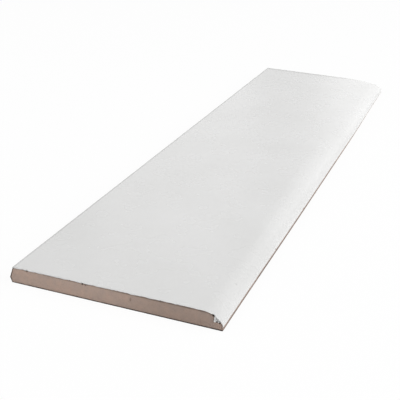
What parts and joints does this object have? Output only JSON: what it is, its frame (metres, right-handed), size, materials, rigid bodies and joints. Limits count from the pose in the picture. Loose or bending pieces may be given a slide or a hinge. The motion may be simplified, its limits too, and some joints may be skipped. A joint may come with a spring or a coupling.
{
  "type": "bullnose tile",
  "caption": "Long rectangular ceramic wall tile with a white glazed face and one long edge rolled down to a thin lip, used to finish the exposed edge of a tiled surface.",
  "frame": {"origin": "centre of the tile's outline on its underside, the level the tile lies on", "axes": "+X towards the rolled edge, +Y along the length, +Z out of the glazed face"},
  "size_m": [0.1, 0.4, 0.008],
  "materials": {
    "glazed_tile": "white satin glaze on the face and the rolled edge, pinkish-brown unglazed body on the ends, the plain side, the lip and the back"
  },
  "bodies": {
    "root": {"bullnose_tile": "glazed_tile"}
  },
  "joints": []
}
